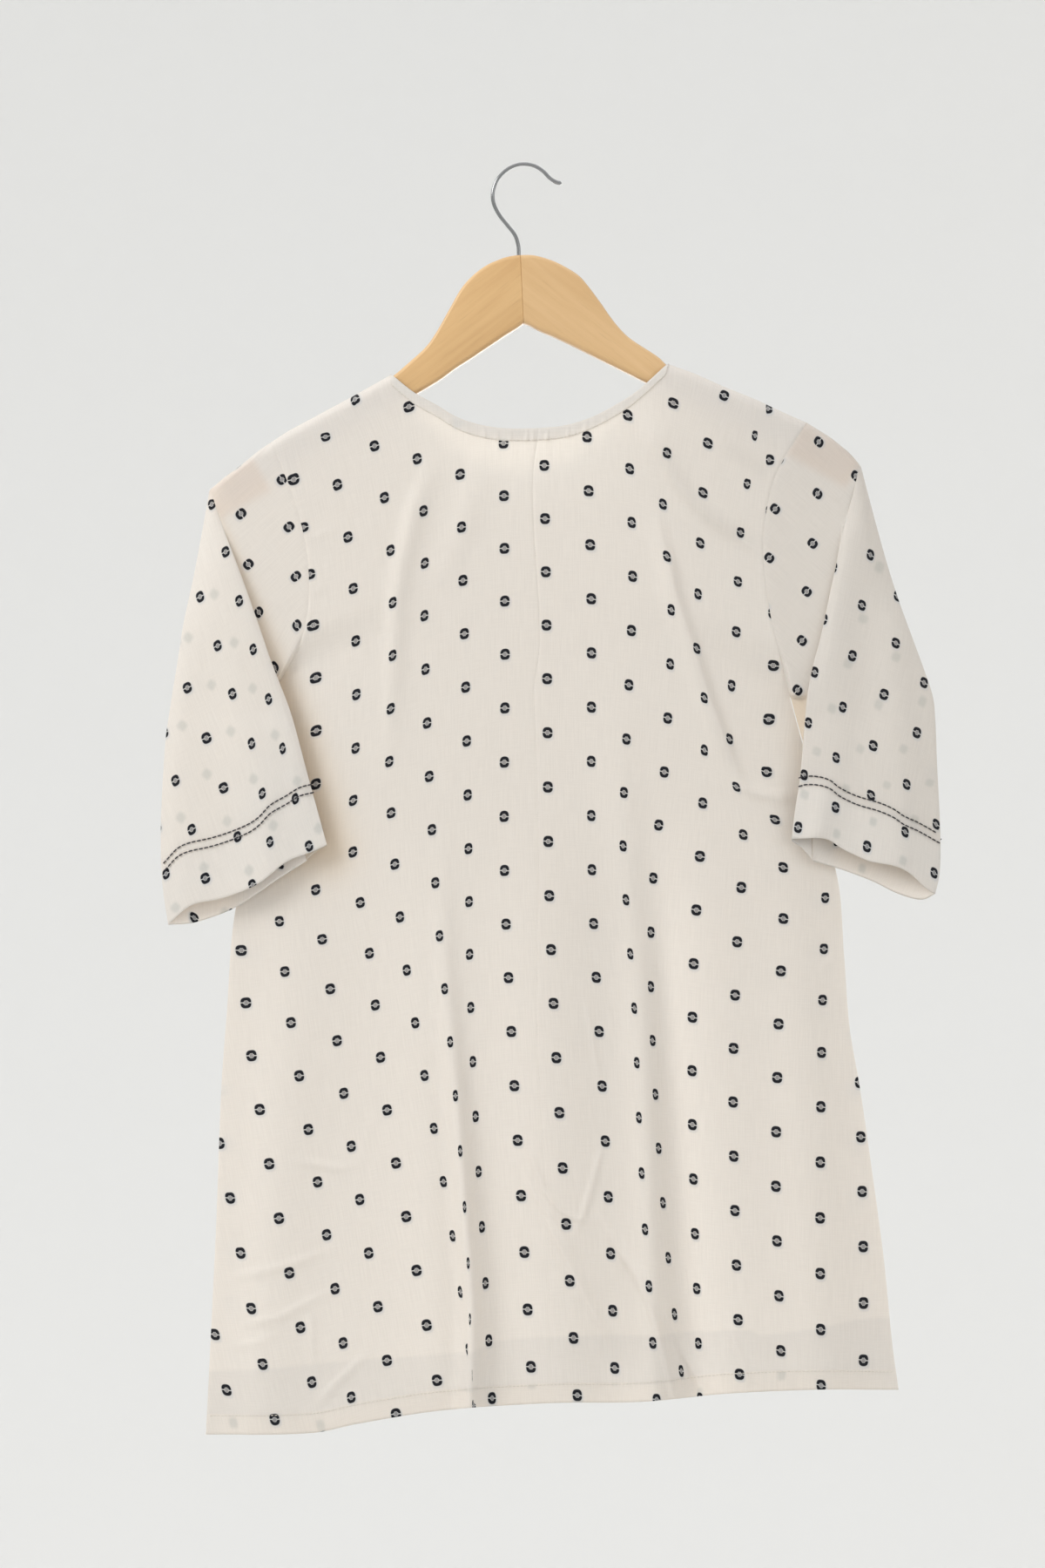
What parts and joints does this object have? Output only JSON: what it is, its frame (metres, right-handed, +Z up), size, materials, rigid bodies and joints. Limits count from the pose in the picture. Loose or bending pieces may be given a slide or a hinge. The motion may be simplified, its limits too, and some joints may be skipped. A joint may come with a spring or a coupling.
{
  "type": "woven top on a hanger",
  "caption": "Short-sleeved A-line woven cotton top with a round neck, hanging flat on a wooden hanger with a wire hook",
  "frame": {"origin": "under the top of the hook's bend, where its wire rests on what holds it", "axes": "+Z up, +X to the right as the back of the top is seen, +Y from the back of the top to its front"},
  "size_m": [0.5576, 0.0635, 0.9097],
  "materials": {
    "woven_cotton": "matte cream weave with small dark woven spots",
    "lacquered_wood": "satin lacquer",
    "chromed_wire": "polished"
  },
  "bodies": {
    "root": {"back_left": "woven_cotton", "back_right": "woven_cotton", "front": "woven_cotton", "sleeve_left": "woven_cotton", "sleeve_right": "woven_cotton", "neck_binding_back": "woven_cotton", "neck_binding_front": "woven_cotton", "hanger_arm_left": "lacquered_wood", "hanger_arm_right": "lacquered_wood", "hanger_hook": "chromed_wire"}
  },
  "joints": []
}
